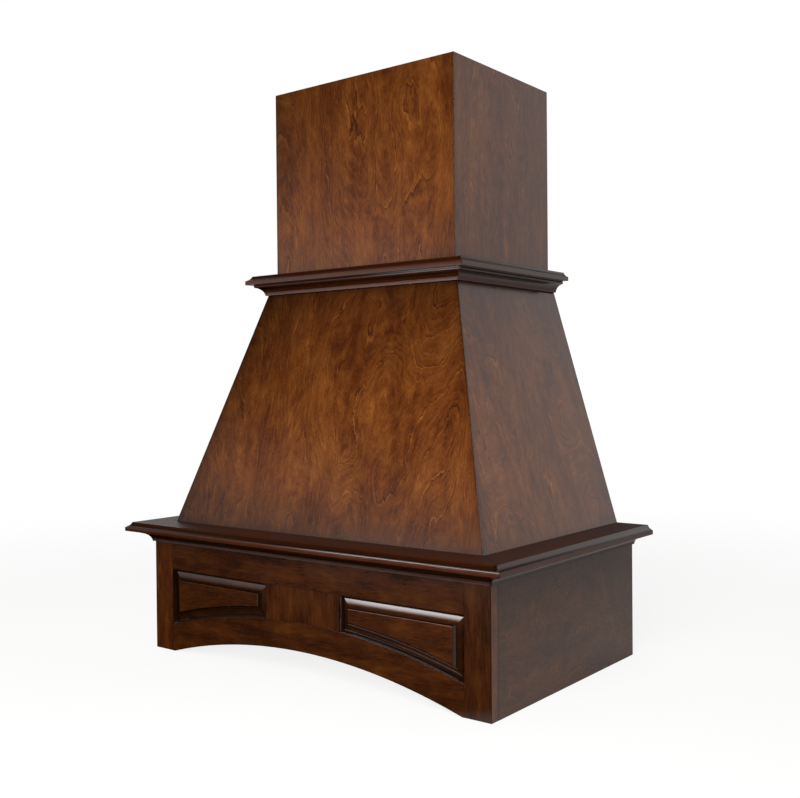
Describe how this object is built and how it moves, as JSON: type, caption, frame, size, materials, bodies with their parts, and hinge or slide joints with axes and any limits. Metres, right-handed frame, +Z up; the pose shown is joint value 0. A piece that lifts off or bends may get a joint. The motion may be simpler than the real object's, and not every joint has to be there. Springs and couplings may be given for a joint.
{
  "type": "wooden range hood cover",
  "caption": "Stained wood wall range hood cover: arched apron with raised panels, mantel shelf, tapered canopy, crown shelf and a lift-off chimney.",
  "frame": {"origin": "on the floor plane under the middle of the overall box, level with the foot of the apron", "axes": "+X to the right as seen from the front, the front faces -Y, the wall is on the +Y side, +Z up"},
  "size_m": [1.0114, 0.623, 1.2725],
  "materials": {
    "stained_face": "dark brown stain and satin lacquer on figured maple",
    "stained_moulding": "dark brown stain and satin lacquer on solid maple mouldings",
    "inner_board": "bare birch plywood",
    "inner_rail": "bare poplar, sawn and planed",
    "screw_steel": "zinc plated steel"
  },
  "bodies": {
    "hood": {"apron_bottom_rail": "stained_face", "apron_centre_stile": "stained_face", "apron_left_panel": "stained_face", "apron_left_stile": "stained_face", "apron_right_panel": "stained_face", "apron_right_stile": "stained_face", "apron_top_rail": "stained_face", "base_hanging_rail": "inner_rail", "base_left_corner_block": "inner_rail", "base_left_side": "stained_face", "base_lower_rail": "inner_rail", "base_right_corner_block": "inner_rail", "base_right_side": "stained_face", "canopy_front": "stained_face", "canopy_front_foot_cleat": "inner_rail", "canopy_hanging_rail": "inner_rail", "canopy_left": "stained_face", "canopy_left_corner_strip": "inner_rail", "canopy_left_foot_cleat": "inner_rail", "canopy_lower_rail": "inner_rail", "canopy_right": "stained_face", "canopy_right_corner_strip": "inner_rail", "canopy_right_foot_cleat": "inner_rail", "chimney_front_locator": "inner_rail", "chimney_left_locator": "inner_rail", "chimney_right_locator": "inner_rail", "crown_cove_front": "stained_moulding", "crown_cove_left": "stained_moulding", "crown_cove_right": "stained_moulding", "crown_shelf_front": "stained_moulding", "crown_shelf_left": "stained_moulding", "crown_shelf_right": "stained_moulding", "duct_deck": "inner_board", "liner_board": "inner_board", "liner_front_cleat": "inner_rail", "liner_left_cleat": "inner_rail", "liner_right_cleat": "inner_rail", "liner_screw_left_front": "screw_steel", "liner_screw_left_rear": "screw_steel", "liner_screw_right_front": "screw_steel", "liner_screw_right_rear": "screw_steel", "mantel_cove_front": "stained_moulding", "mantel_cove_left": "stained_moulding", "mantel_cove_right": "stained_moulding", "mantel_shelf_front": "stained_moulding", "mantel_shelf_left": "stained_moulding", "mantel_shelf_right": "stained_moulding"},
    "chimney": {"chimney_front": "stained_face", "chimney_left": "stained_face", "chimney_left_corner_strip": "inner_rail", "chimney_lower_rail": "inner_rail", "chimney_right": "stained_face", "chimney_right_corner_strip": "inner_rail", "chimney_upper_rail": "inner_rail"}
  },
  "joints": [
    {"name": "chimney_lift", "type": "slide", "parent": "hood", "child": "chimney", "axis": [0, 0, 1], "range_m": [0, 0.1]}
  ]
}
